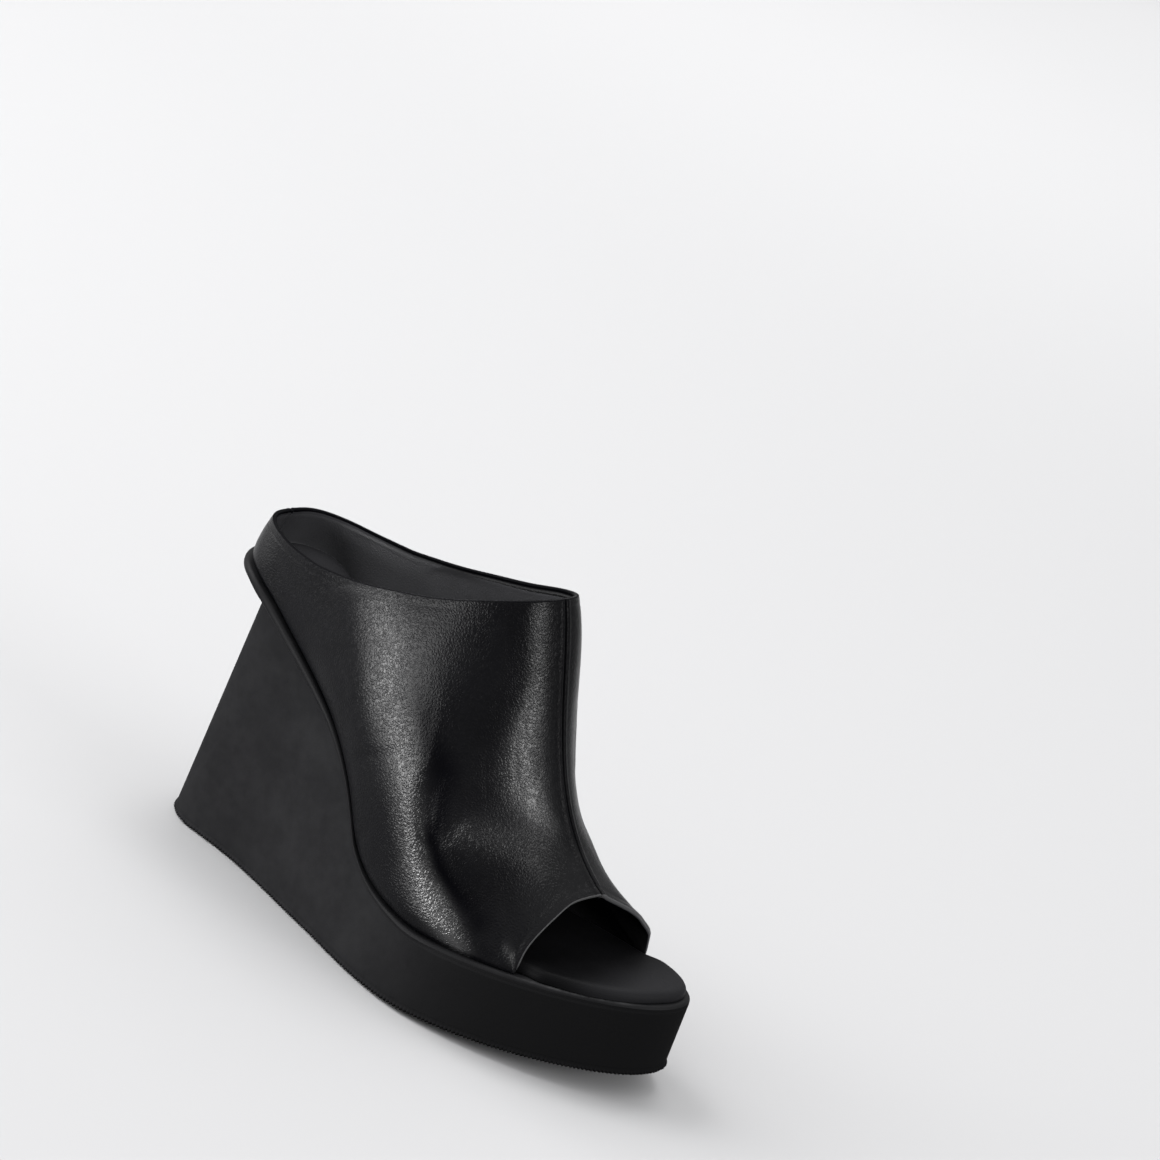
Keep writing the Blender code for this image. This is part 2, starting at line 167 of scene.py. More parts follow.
# Edge of the toe opening from its top down to each end: way along it, share of the half width,
# place ahead of a straight line as a share of the ball width, share of the opening's height.
OUTER_EDGE = (
    (0.00, 0.00, 0.000, 1.00),
    (0.15, 0.16, -0.022, 0.955),
    (0.32, 0.335, -0.032, 0.895),
    (0.56, 0.585, -0.025, 0.71),
    (0.80, 0.855, -0.022, 0.37),
    (1.00, 1.00, 0.000, 0.00),
)
INNER_EDGE = (
    (0.00, 0.00, 0.000, 1.00),
    (0.15, 0.22, 0.009, 0.90),
    (0.32, 0.49, 0.016, 0.765),
    (0.60, 0.82, -0.017, 0.55),
    (0.80, 1.01, -0.026, 0.325),
    (0.90, 1.02, -0.020, 0.17),
    (1.00, 1.00, 0.000, 0.00),
)

PLACES = 48                # even steps that set the upper's form
END_ZONE = 0.085           # share of the length at the heel with closer steps
END_STEPS = 8              # steps in it
EDGE_COLUMNS = 9           # steps along each side of the toe opening's edge
CORNER_SPREAD = 0.09       # share of the way round that the corner by the toe opening is softened over
CORNER_PASSES = 40         # how many times it is softened

# Soft folds of the leather. Way round and rise of the start, the middle and the end, half width of the fold,
# and how far it stands out, in metres. A trough stands in.
FOLDS = (
    (0.46, 1.00, 0.51, 0.74, 0.58, 0.46, 0.0120, 0.0020),
    (0.54, 0.07, 0.68, 0.05, 0.800, 0.03, 0.0110, 0.0020),
    (0.54, 0.66, 0.63, 0.60, 0.710, 0.58, 0.0150, -0.0010),
    (0.69, 0.52, 0.700, 0.28, 0.745, 0.02, 0.0065, 0.0008),
    (0.732, 0.52, 0.712, 0.32, 0.775, 0.11, 0.0042, -0.0020),
    (0.765, 0.35, 0.82, 0.29, 0.930, 0.20, 0.0090, 0.0015),
    (0.900, 0.66, 0.885, 0.54, 0.885, 0.46, 0.0060, 0.0006),
    (0.908, 0.66, 0.895, 0.56, 0.900, 0.46, 0.0008, -0.00030),
    (0.922, 0.72, 0.912, 0.60, 0.917, 0.50, 0.0008, -0.00030),
    (0.893, 0.54, 0.897, 0.47, 0.912, 0.40, 0.0008, -0.00025),
    (0.930, 0.60, 0.926, 0.50, 0.938, 0.40, 0.0008, -0.00020),
    (0.824, 0.060, 0.828, 0.035, 0.829, 0.010, 0.0020, 0.00090),
)

# Relief along seams and edges. What it follows, distance from it, half width, and how far it stands out, in metres.
EDGE_LINES = (
    ("front seam", 0.0017, 0.0011, 0.00035),
    ("front seam", 0.0, 0.00040, -0.00080),
    ("back seam", 0.0015, 0.0009, 0.00020),
    ("back seam", 0.0, 0.00035, -0.00035),
    ("toe opening", 0.0036, 0.0012, -0.00022),
    ("foot", 0.0, 0.0015, -0.00110),
    ("topline", 0.0030, 0.0006, -0.00012),
)

# Leather polished by wear and dulled in its troughs.
# Line, way round, rise, half width in metres, and share of the full gloss.
GLOSS = 0.095
SHINE = (
    ("outer fold", 0.520, 1.000, 0.0085, 0.22),
    ("outer fold", 0.545, 0.930, 0.0085, 0.37),
    ("outer fold", 0.585, 0.846, 0.0080, 0.41),
    ("outer fold", 0.596, 0.727, 0.0078, 0.39),
    ("outer fold", 0.605, 0.656, 0.0074, 0.36),
    ("outer fold", 0.641, 0.561, 0.0068, 0.37),
    ("outer fold", 0.662, 0.455, 0.0066, 0.42),
    ("outer fold", 0.674, 0.372, 0.0062, 0.48),
    ("outer fold", 0.680, 0.289, 0.0052, 0.56),
    ("outer fold", 0.694, 0.206, 0.0048, 0.76),
    ("outer fold", 0.714, 0.135, 0.0049, 0.95),
    ("outer fold", 0.736, 0.053, 0.0047, 1.08),
    ("outer fold", 0.746, 0.012, 0.0042, 1.08),
    ("front fold", 0.918, 1.000, 0.0020, 0.25),
    ("front fold", 0.919, 0.979, 0.0028, 0.35),
    ("front fold", 0.926, 0.881, 0.0028, 0.34),
    ("front fold", 0.933, 0.763, 0.0030, 0.37),
    ("front fold", 0.926, 0.656, 0.0045, 0.55),
    ("front fold", 0.912, 0.573, 0.0060, 0.60),
    ("front fold", 0.905, 0.479, 0.0070, 0.65),
    ("front fold", 0.919, 0.396, 0.0065, 0.65),
    ("front fold", 0.935, 0.336, 0.0050, 0.60),
    ("front fold", 0.957, 0.260, 0.0040, 0.25),
    ("toe swell", 0.775, 0.330, 0.0060, 0.26),
    ("toe swell", 0.820, 0.300, 0.0085, 0.22),
    ("toe swell", 0.895, 0.270, 0.0090, 0.18),
    ("trough", 0.676, 0.740, 0.0040, 0.10),
    ("trough", 0.694, 0.670, 0.0055, 0.05),
    ("trough", 0.712, 0.580, 0.0055, 0.03),
    ("trough", 0.738, 0.510, 0.0055, 0.02),
    ("trough", 0.731, 0.431, 0.0036, 0.01),
    ("trough", 0.728, 0.372, 0.0032, 0.01),
    ("trough", 0.717, 0.313, 0.0032, 0.01),
    ("trough", 0.731, 0.230, 0.0036, 0.01),
    ("trough", 0.758, 0.159, 0.0040, 0.02),
    ("trough", 0.785, 0.100, 0.0050, 0.03),
    ("outer end", 0.825, 0.050, 0.0011, 0.15),
    ("outer end", 0.828, 0.030, 0.0014, 0.40),
    ("outer end", 0.829, 0.014, 0.0012, 0.30),
    ("heel side", 0.060, 0.500, 0.0260, 0.120),
    ("heel side", 0.340, 0.600, 0.0260, 0.105),
    ("front seam", 1.000, 1.000, 0.0042, 0.05),
    ("front seam", 1.000, 0.200, 0.0055, 0.04),
)

UPPER_COLUMNS = 180        # columns of each side of the upper
UPPER_ROWS = 96            # rows from its foot to its topline
SOLE_COLUMNS = 360         # columns once round the wedge, the board and the insole
TOOTHED_COLUMNS = 1720     # columns once round the outsole
TURN_ANGLES = (20, 45, 70, 90, 110, 135, 160)  # degrees of the rows round a turned edge
TOE_CENTRE = 0.034         # front end of a sole piece's centre line, behind its tip


def through(table, share, column=1):
    """Smooth curve through a table's rows, without overshoot."""
    xs = np.array([row[0] for row in table])
    ys = np.array([row[column] for row in table])
    step = np.diff(xs)
    slope = np.diff(ys) / step
    tangent = np.zeros(len(xs))
    for i in range(1, len(xs) - 1):
        if slope[i - 1] * slope[i] > 0:
            first = 2 * step[i] + step[i - 1]
            second = step[i] + 2 * step[i - 1]
            tangent[i] = (first + second) / (first / slope[i - 1] + second / slope[i])
    tangent[0] = slope[0]
    tangent[-1] = slope[-1]
    share = np.clip(share, xs[0], xs[-1])
    i = np.clip(np.searchsorted(xs, share, side="right") - 1, 0, len(step) - 1)
    t = (share - xs[i]) / step[i]
    rise = (3 - 2 * t) * t * t * (ys[i + 1] - ys[i])
    bend = t * (1 - t) * ((1 - t) * tangent[i] - t * tangent[i + 1]) * step[i]
    return ys[i] + rise + bend


def smooth_step(value, start, end):
    share = np.clip((value - start) / (end - start), 0.0, 1.0)
    return share * share * (3 - 2 * share)


def hump(value, width):
    return np.exp(-((value / width) ** 2))


def spring(x):
    """Height of the outsole's underside."""
    return TOE_SPRING * np.maximum((x / LENGTH - SPRING_START) / (1 - SPRING_START), 0.0) ** 1.7


def seat(x):
    """Height of the board's top."""
    return PLATFORM + spring(x) + (HEEL_HEIGHT - PLATFORM) * through(CLIMB, x / LENGTH)


def steepness(x):
    """Stretch of an upright thickness where the board slopes."""
    step = LENGTH / 400
    ahead, behind = np.minimum(x + step, LENGTH), np.maximum(x - step, 0.0)
    return np.hypot(1.0, (seat(ahead) - seat(behind)) / (ahead - behind))


def swing(x):
    """Centre line of the shoe, which turns to the inner side at the toe."""
    return TOE_SWING * np.maximum((x / LENGTH - SWING_START) / (1 - SWING_START), 0.0) ** 1.6


def half_width(x, back, front, heel, waist, ball):
    """Half the width of an outline that runs from back to front."""
    widths = ((0.0, heel), (0.14, heel), (0.40, waist), (0.68, ball), (1.0, 0.95 * ball))
    half = through(widths, (x - back) / (front - back)) / 2
    reach = np.maximum((back + heel / 2 - x) / (heel / 2), 0.0)
    half = half * np.sqrt(np.maximum(1 - reach**2, 0.0))
    reach = np.maximum((x - front + TOE_ROUND) / TOE_ROUND, 0.0)
    return half * np.maximum(1 - reach**2.1, 0.0) ** (1 / 2.1)


BOARD_TIP = LENGTH - TOE_SETBACK - 0.5 * EDGE_ROUND
SEAT_TIP = BOARD_TIP - RIM_MARGIN_FRONT
SEAT_BALL = BALL_WIDTH - 2 * (EDGE_TAPER + 0.5 * EDGE_ROUND + RIM_MARGIN_FRONT)


def outsole_half(x):
    return half_width(x, HEEL_SETBACK, LENGTH, HEEL_WIDTH, WAIST_WIDTH, BALL_WIDTH)


def seat_half(x, inset=0.0, tip=SEAT_TIP):
    """Half the width of the upper's foot, or of an outline inside it."""
    heel, waist, ball = (width - 2 * inset for width in (SEAT_WIDTH, SEAT_WAIST, SEAT_BALL))
    return half_width(x, SEAT_BACK + inset, tip, heel, waist, ball)


def rim_half(x):
    margins = ((0.0, RIM_MARGIN), (0.12, RIM_MARGIN), (0.42, RIM_MARGIN_FRONT), (1.0, RIM_MARGIN_FRONT))
    twice = 2 * through(margins, x / LENGTH)
    return half_width_of(x, 0.0, BOARD_TIP, SEAT_WIDTH, SEAT_WAIST, SEAT_BALL, twice)


def half_width_of(x, back, front, heel, waist, ball, wider):
    """Half the width of an outline that is wider by an amount that changes along the shoe."""
    places = zip(np.atleast_1d(x), np.atleast_1d(wider))
    return np.array([half_width(place, back, front, heel + more, waist + more, ball + more) for place, more in places])


def platform_half(x):
    """Half the width of the wedge's top, well inside the lip at the heel."""
    heel = SEAT_WIDTH - 2 * (LIP_OVERHANG - SEAT_BACK) * 0.36
    ball = SEAT_BALL + 2 * (RIM_MARGIN_FRONT + 0.5 * EDGE_ROUND)
    return half_width(x, LIP_OVERHANG, LENGTH - TOE_SETBACK, heel, SEAT_WAIST, ball)


def rim_thickness(x):
    thick = through(((0.0, RIM_THICK), (0.20, RIM_THICK), (0.48, RIM_THIN), (1.0, RIM_THIN)), x / LENGTH)
    return thick * steepness(x)


def wedge_top(x):
    return seat(x) - rim_thickness(x) - GAP * steepness(x)


def visible_top(x):
    """Wedge's top, with only a seam under the board."""
    return wedge_top(x) + (GAP - SEAM) * steepness(x)


def insole_top(x):
    pad = np.exp(-(((x / LENGTH - 0.47) / 0.055) ** 2)) * ARCH_PAD
    return seat(x) + (INSOLE + GAP) * steepness(x) + pad


def run_length(points):
    """Length along a line up to each of its points."""
    return np.concatenate([[0.0], np.cumsum(np.linalg.norm(np.diff(points, axis=0), axis=1))])


def foot_line(hand, places=PLACES, end_steps=END_STEPS, edge_columns=EDGE_COLUMNS):
    """Foot of the upper from the heel to the top of the toe opening, and the number of its corner."""
    end = LENGTH - (PEEP_OUTER if hand < 0 else PEEP_INNER)
    top = LENGTH - PEEP_TOP
    table = OUTER_EDGE if hand < 0 else INNER_EDGE
    zone = END_ZONE * LENGTH
    xs = [SEAT_BACK + zone * (i / end_steps) ** 2 for i in range(end_steps)]
    xs += [x for x in (LENGTH * i / places for i in range(places)) if SEAT_BACK + zone < x < end - WALL]
    x = np.array(xs + [end])
    standing = np.stack([x, swing(x) + hand * seat_half(x), seat(x) + GAP * steepness(x)], 1)
    way = 1 - np.arange(1, edge_columns + 1) / edge_columns
    across = through(table, way, 1)
    x = top + (end - top) * across + BALL_WIDTH * through(table, way, 2)
    y = swing(x) + hand * seat_half(end) * across
    open_edge = np.stack([x, y, seat(x) + GAP + PEEP_HEIGHT * through(table, way, 3)], 1)
    return np.concatenate([standing, open_edge]), len(standing) - 1


def collar_line(hand, ways):
    """Topline from the back of the heel to the front of the throat, at shares of its length."""
    back = SEAT_BACK + CUP_LEAN
    low = HEEL_HEIGHT + CUP_HEIGHT
    high = PLATFORM + THROAT_RISE
    turn = math.pi * np.arange(961) / 960
    share = (1 - np.cos(turn)) / 2
    x = back + (THROAT_X - back) * share
    across = np.maximum(np.sin(turn), 0.0)
    y = swing(x) + hand * COLLAR_WIDTH / 2 * across**0.7 + COLLAR_SHIFT * across
    z = low + (high - low) * through(TOPLINE, share) + max(hand, 0.0) * COLLAR_INNER * across
    line = np.stack([x, y, z], 1)
    run = run_length(line)
    return np.stack([np.interp(ways * run[-1], run, line[:, axis]) for axis in range(3)], 1)


def softened(line, ways, corner):
    """The line with its corner at one place rounded off, and the rest left alone."""
    blend = hump(ways - corner, CORNER_SPREAD)[:, None]
    soft = line.copy()
    for _ in range(CORNER_PASSES):
        between = (np.roll(soft, 1, 0) + np.roll(soft, -1, 0)) / 2
        between[0], between[-1] = soft[0], soft[-1]
        soft += (between - soft) * blend * 0.8
    return soft


def drawn_smooth(ways, line, wanted):
    """Curve through a line's points at more places."""
    slope = np.gradient(line, ways, axis=0)
    i = np.clip(np.searchsorted(ways, wanted, side="right") - 1, 0, len(ways) - 2)
    step = (ways[i + 1] - ways[i])[:, None]
    t = ((wanted - ways[i])[:, None]) / step
    start = (1 + 2 * t) * (1 - t) ** 2 * line[i] + t * (1 - t) ** 2 * step * slope[i]
    return start + t * t * (3 - 2 * t) * line[i + 1] + t * t * (t - 1) * step * slope[i + 1]


def crowded(count, spots):
    """Shares from 0 to 1, closer together near each spot (place, spread, how many times closer)."""
    fine = np.linspace(0.0, 1.0, 4001)
    density = 1 + sum(times * hump(fine - place, spread) for place, spread, times in spots)
    total = np.concatenate([[0.0], np.cumsum((density[1:] + density[:-1]) / 2)])
    return np.interp(np.linspace(0.0, 1.0, count + 1), total / total[-1], fine)


def upper_side(hand, rises):
    """Outer surface of one side, in columns from heel to toe and rows from foot to topline, and the columns' ways."""
    coarse, number = foot_line(hand)
    run = run_length(coarse)
    ways = run / run[-1]
    corner = ways[number]
    table = OUTER_FORM if hand < 0 else INNER_FORM
    form = np.stack([through(table, ways, column) for column in range(1, 7)], 1) * BALL_WIDTH
    turned = np.array([1.0, hand, 1.0])
    collar = collar_line(hand, ways)
    low = softened(coarse + (collar - coarse) / 3 + form[:, :3] * turned, ways, corner)
    high = softened(coarse + (collar - coarse) * 2 / 3 + form[:, 3:] * turned, ways, corner)
    fine, number = foot_line(hand, places=1200, end_steps=200, edge_columns=400)
    run = run_length(fine)
    fine_ways = run / run[-1]
    columns = crowded(UPPER_COLUMNS, ((0.0, 0.012, 4), (corner, 0.012, 3), (1.0, 0.022, 9)))
    columns[int(np.argmin(np.abs(columns - fine_ways[number])))] = fine_ways[number]
    foot = np.stack([np.interp(columns, fine_ways, fine[:, axis]) for axis in range(3)], 1)
    low, high = drawn_smooth(ways, low, columns), drawn_smooth(ways, high, columns)
    collar = collar_line(hand, columns)
    t = rises[None, :, None]
    grid = (1 - 3 * t) * (2 - 3 * t) * (1 - t) / 2 * foot[:, None]
    grid = grid + 9 * t * (2 - 3 * t) * (1 - t) / 2 * low[:, None]
    grid = grid + 9 * t * (3 * t - 1) * (1 - t) / 2 * high[:, None]
    grid = grid + t * (3 * t - 1) * (3 * t - 2) / 2 * collar[:, None]
    return grid, columns


def outward(surface):
    """Direction square to the surface at each point, once round the shoe."""
    around = np.roll(surface, -1, 0) - np.roll(surface, 1, 0)
    along = np.gradient(surface, axis=1)
    square = np.cross(around, along)
    return square / np.linalg.norm(square, axis=2, keepdims=True)


SIDES = [swing(x) + hand * outsole_half(x) for x in np.linspace(HEEL_SETBACK, LENGTH, 1201) for hand in (-1, 1)]
MIDDLE_X = LENGTH / 2
MIDDLE_Y = (min(SIDES) + max(SIDES)) / 2


def placed(points):
    return np.asarray(points) - np.array([MIDDLE_X, MIDDLE_Y, 0.0])


def woven(name, rows, marks, look_of_row=lambda row: 0):
    """Closed body from rows of points, each once round the piece. Rows that meet are welded."""
    rows = placed(rows)
    count, columns = rows.shape[:2]
    bm = bmesh.new()
    bmesh.ops.create_grid(bm, x_segments=columns, y_segments=count - 1, size=1.0)
    for face in bm.faces:
        middle = face.calc_center_median()
        face.material_index = look_of_row(int((middle.y + 1) / 2 * (count - 1)))
        face.smooth = True
    layers = {key: bm.verts.layers.float.new(key) for key in marks}
    for vert in bm.verts:
        i = round((vert.co.x + 1) / 2 * columns) % columns
        j = round((vert.co.y + 1) / 2 * (count - 1))
        for key, layer in layers.items():
            vert[layer] = float(marks[key][j, i])
        vert.co = rows[j, i]
    bmesh.ops.remove_doubles(bm, verts=bm.verts, dist=0.000002)
    bmesh.ops.recalc_face_normals(bm, faces=bm.faces)
    mesh = bpy.data.meshes.new(name)
    bm.to_mesh(mesh)
    bm.free()
    body = bpy.data.objects.new(name, mesh)
    bpy.context.collection.objects.link(body)
    return body


def outline(back, front, half_of, columns):
    """Points once round a flat piece from its back, with the same places on both sides."""
    turn = np.linspace(0.0, math.pi, 1501)
    x = back + (front - back) * (1 - np.cos(turn)) / 2
    half = half_of(x)
    half[0] = half[-1] = 0.0
    run = run_length(np.stack([x, half], 1))
    even = np.linspace(0.0, run[-1], columns // 2 + 1)
    x, half = np.interp(even, run, x), np.interp(even, run, half)
    right = np.stack([x, swing(x) - half], 1)
    left = np.stack([x, swing(x) + half], 1)[-2:0:-1]
    return np.concatenate([right, left])


def centre_line(edge, back, front):
    x = np.clip(edge[:, 0], back, front)
    return np.stack([x, swing(x)], 1)


def inside(edge, centre, share, inset):
    """The outline moved inwards by a share of the way to the centre line and by an amount."""
    reach = np.linalg.norm(centre - edge, axis=1)
    part = np.clip(share + (1 - share) * inset / np.maximum(reach, 1e-6), 0.0, 1.0)
    return edge + (centre - edge) * part[:, None]


# Materials


class Nodes:
    """Short calls for building a tree of shader nodes."""

    def __init__(self, tree):
        self.tree = tree

    def add(self, kind, **settings):
        made = self.tree.nodes.new(kind)
        for key, value in settings.items():
            setattr(made, key, value)
        return made

    def link(self, start, end):
        self.tree.links.new(start, end)

    def maths(self, operation, first, second=None):
        made = self.add("ShaderNodeMath", operation=operation)
        for socket, value in zip(made.inputs, (first, second)):
            if isinstance(value, (int, float)):
                socket.default_value = value
            elif value is not None:
                self.link(value, socket)
        return made.outputs[0]

    def noise(self, place, scale, detail=3.0, rough=0.5, distortion=0.0):
        made = self.add("ShaderNodeTexNoise")
        self.link(place, made.inputs["Vector"])
        made.inputs["Scale"].default_value = scale
        made.inputs["Detail"].default_value = detail
        made.inputs["Roughness"].default_value = rough
        made.inputs["Distortion"].default_value = distortion
        return made.outputs["Fac"]

    def ramp(self, value, low, high, start=0.0, end=1.0):
        made = self.add("ShaderNodeMapRange", interpolation_type="SMOOTHSTEP")
        self.link(value, made.inputs["Value"])
        for key, number in (("From Min", low), ("From Max", high), ("To Min", start), ("To Max", end)):
            made.inputs[key].default_value = number
        return made.outputs["Result"]

    def mix(self, kind, factor, first, second):
        """Blend of two colours or two numbers, each a socket or a fixed value."""
        made = self.add("ShaderNodeMix", data_type=kind)
        self.link(factor, made.inputs["Factor"])
        for key, value in (("A", first), ("B", second)):
            if isinstance(value, bpy.types.NodeSocket):
                self.link(value, made.inputs[key])
            else:
                made.inputs[key].default_value = value
        return made.outputs["Result"]

    def stretched(self, place, scale):
        made = self.add("ShaderNodeMapping")
        self.link(place, made.inputs["Vector"])
        made.inputs["Scale"].default_value = scale
        return made.outputs["Vector"]


def effect(name, outputs):
    """Empty shader group that takes a place and gives the named values."""
    group = bpy.data.node_groups.new(name, "ShaderNodeTree")
    group.interface.new_socket("Place", in_out="INPUT", socket_type="NodeSocketVector")
    for output in outputs:
        group.interface.new_socket(output, in_out="OUTPUT", socket_type="NodeSocketFloat")
    nodes = Nodes(group)
    return group, nodes, nodes.add("NodeGroupInput").outputs["Place"], nodes.add("NodeGroupOutput")


def leather_grain():
    """Pebbles and fine creases of soft leather, with a slow change of tone."""
    group, n, place, out = effect("leather grain", ("Height", "Tone"))
    warp = n.add("ShaderNodeTexNoise")
    n.link(place, warp.inputs["Vector"])
    warp.inputs["Scale"].default_value = 420.0
    warp.inputs["Detail"].default_value = 2.0
    moved = n.add("ShaderNodeVectorMath", operation="MULTIPLY_ADD")
    n.link(warp.outputs["Color"], moved.inputs[0])
    moved.inputs[1].default_value = (0.0016, 0.0016, 0.0016)
    n.link(place, moved.inputs[2])
    pebble = n.add("ShaderNodeTexVoronoi", feature="DISTANCE_TO_EDGE")
    n.link(moved.outputs[0], pebble.inputs["Vector"])
    pebble.inputs["Scale"].default_value = 820.0
    cells = n.ramp(pebble.outputs["Distance"], 0.0, 0.34)
    crease = n.noise(n.stretched(moved.outputs[0], (1.0, 1.0, 0.6)), 520.0, 3.0, 0.6)
    crease = n.maths("ABSOLUTE", n.maths("SUBTRACT", crease, 0.5))
    crease = n.ramp(crease, 0.0, 0.05)
    soft = n.noise(place, 160.0, 3.0, 0.55)
    height = n.maths("ADD", n.maths("MULTIPLY", cells, 0.70), n.maths("MULTIPLY", crease, 0.16))
    height = n.maths("ADD", height, n.maths("MULTIPLY", soft, 0.30))
    n.link(height, out.inputs["Height"])
    n.link(n.noise(place, 26.0, 5.0, 0.6), out.inputs["Tone"])
    return group


def soft_nap():
    """Fine nap with slight mottling, for the covered wedge."""
    group, n, place, out = effect("soft nap", ("Height", "Tone"))
    fine = n.noise(place, 1500.0, 3.0, 0.6)
    wide = n.noise(place, 240.0, 4.0, 0.6)
    n.link(n.maths("ADD", fine, n.maths("MULTIPLY", wide, 0.6)), out.inputs["Height"])
    slow = n.noise(place, 38.0, 6.0, 0.62)
    n.link(n.maths("ADD", n.maths("MULTIPLY", slow, 0.7), n.maths("MULTIPLY", wide, 0.3)), out.inputs["Tone"])
    return group


def look(name, group, dark, light, rough_low, rough_high, bump, shine=0.1, marked=None, glossy=None):
    """Material whose colour and roughness follow its group's tone, and whose relief is its group's height.

    marked = (attribute, colour, roughness) paints a marked band, such as a painted highlight along an edge, painted
    shade, or scuffs.
    glossy = (attribute, full shine) polishes the leather by a mark.
    """
    made = bpy.data.materials.new(name)
    made.use_nodes = True
    n = Nodes(made.node_tree)
    shader = made.node_tree.nodes["Principled BSDF"]
    place = n.add("ShaderNodeTexCoord").outputs["Object"]
    surface = n.add("ShaderNodeGroup", node_tree=group)
    n.link(place, surface.inputs["Place"])
    tone = n.ramp(surface.outputs["Tone"], 0.32, 0.68)
    colour = n.mix("RGBA", tone, (*dark, 1.0), (*light, 1.0))
    rough = n.ramp(surface.outputs["Tone"], 0.3, 0.7, rough_low, rough_high)
    if marked:
        attribute, band_colour, band_rough = marked
        band = n.add("ShaderNodeAttribute", attribute_name=attribute).outputs["Fac"]
        colour = n.mix("RGBA", band, colour, (*band_colour, 1.0))
        rough = n.mix("FLOAT", band, rough, band_rough)
    n.link(colour, shader.inputs["Base Color"])
    n.link(rough, shader.inputs["Roughness"])
    relief = n.add("ShaderNodeBump")
    relief.inputs["Strength"].default_value = 1.0
    relief.inputs["Distance"].default_value = bump
    n.link(surface.outputs["Height"], relief.inputs["Height"])
    n.link(relief.outputs["Normal"], shader.inputs["Normal"])
    shader.inputs["Specular IOR Level"].default_value = shine
    if glossy:
        polish = n.add("ShaderNodeAttribute", attribute_name=glossy[0]).outputs["Fac"]
        n.link(n.maths("MULTIPLY", polish, glossy[1]), shader.inputs["Specular IOR Level"])
        n.link(n.ramp(polish, 0.03, 0.32, 0.45, 1.0), relief.inputs["Strength"])
    return made


GRAIN = leather_grain()
NAP = soft_nap()
# the edge mark paints a lighter band along the turned edges: a painted highlight
UPPER_LEATHER = look(
    "upper leather", GRAIN, (0.0006, 0.0006, 0.0009), (0.0012, 0.0012, 0.0016), 0.28, 0.36, 0.00017,
    marked=("edge", (0.042, 0.042, 0.043), 0.40), glossy=("gloss", 0.8))
# the lining is painted darker deeper inside the shoe: painted shade
LINING = look(
    "lining", GRAIN, (0.0245, 0.0245, 0.0264), (0.0330, 0.0330, 0.0355), 0.42, 0.55, 0.00005,
    marked=("painted_depth_shade", (0.0026, 0.0026, 0.0028), 0.60), glossy=("gloss", 0.8))
# the insole's marked band paints its heel seat and toe lighter: painted light
INSOLE_LEATHER = look(
    "insole leather", GRAIN, (0.0012, 0.0012, 0.0013), (0.0020, 0.0020, 0.0022), 0.38, 0.48, 0.00003,
    shine=0.015, marked=("painted_insole_light", (0.0115, 0.0115, 0.0125), 0.50))
# the board's marked band is scuffs by the toe, partly a painted highlight along its top edge
BOARD_COVER = look(
    "board cover", NAP, (0.0026, 0.0026, 0.0029), (0.0040, 0.0040, 0.0044), 0.45, 0.60, 0.00004,
    shine=0.05, marked=("scuffs_and_highlight", (0.030, 0.030, 0.031), 0.50))
# the wedge and outsole are painted darker towards the toe: painted shade
WEDGE_COVER = look(
    "wedge cover", NAP, (0.0062, 0.0062, 0.0066), (0.0094, 0.0094, 0.0099), 0.72, 0.88, 0.00005,
    shine=0.01, marked=("painted_toe_shade", (0.0040, 0.0040, 0.0042), 0.80))
OUTSOLE_RUBBER = look(
    "outsole rubber", NAP, (0.0056, 0.0056, 0.0060), (0.0084, 0.0084, 0.0089), 0.70, 0.84, 0.00005,
    shine=0.01, marked=("painted_toe_shade", (0.0037, 0.0037, 0.0039), 0.80))


# Sole pieces


def make_outsole():
    """Outsole with a finely toothed lower edge."""
    edge = outline(HEEL_SETBACK, LENGTH, outsole_half, TOOTHED_COLUMNS)
    centre = centre_line(edge, HEEL_SETBACK + 0.018, LENGTH - TOE_CENTRE)
    run = run_length(np.concatenate([edge, edge[:1]]))[:-1]
    tooth = np.abs((run / TOOTH) % 1.0 - 0.5) * 2
    out = edge - centre
    out /= np.linalg.norm(out, axis=1, keepdims=True)
    rows = []
    for share, inset, height, teeth in (
        (1.0, 0.0, 0.0, 0.0),
        (0.0, 0.0040, 0.0, 0.0),
        (0.0, 0.0012, 0.0, 0.25),
        (0.0, 0.0004, 0.00015, 1.0),
        (0.0, 0.0, 0.0006, 1.0),
        (0.0, 0.0, 0.0012, 0.7),
        (0.0, 0.0, 0.0018, 0.0),
        (0.0, 0.0, OUTSOLE - 0.0002, 0.0),
        (0.0, 0.0, OUTSOLE - 0.00005, 0.0),
        (0.0, 0.0, OUTSOLE, 0.0),
        (1.0, 0.0, OUTSOLE, 0.0),
    ):
        points = inside(edge, centre, share, inset) + out * (TOOTH_OUT * teeth * (1 - tooth))[:, None]
        z = spring(points[:, 0]) + height + TOOTH_UP * teeth * tooth
        rows.append(np.column_stack([points, z]))
    return woven("toothed_outsole", np.array(rows), {"painted_toe_shade": painted_toe_shade(rows)})


def painted_toe_shade(rows):
    """Painted shade that darkens the sole's side from its waist to its toe."""
    return np.array([smooth_step(points[:, 0] / LENGTH, 0.46, 0.82) for points in rows])


def at_front(x):
    """From 0 behind the ball to 1 where the board's side runs on from the platform's."""
    return smooth_step(x / LENGTH, 0.48, 0.62)


def front_round(height):
    """How far the round over the platform's edge and the board has turned in, at a height above its start."""
    full = EDGE_ROUND + RIM_THIN
    return FRONT_ROUND * (1 - np.sqrt(np.clip(1 - (height / full) ** 2, 0.0, 1.0)))


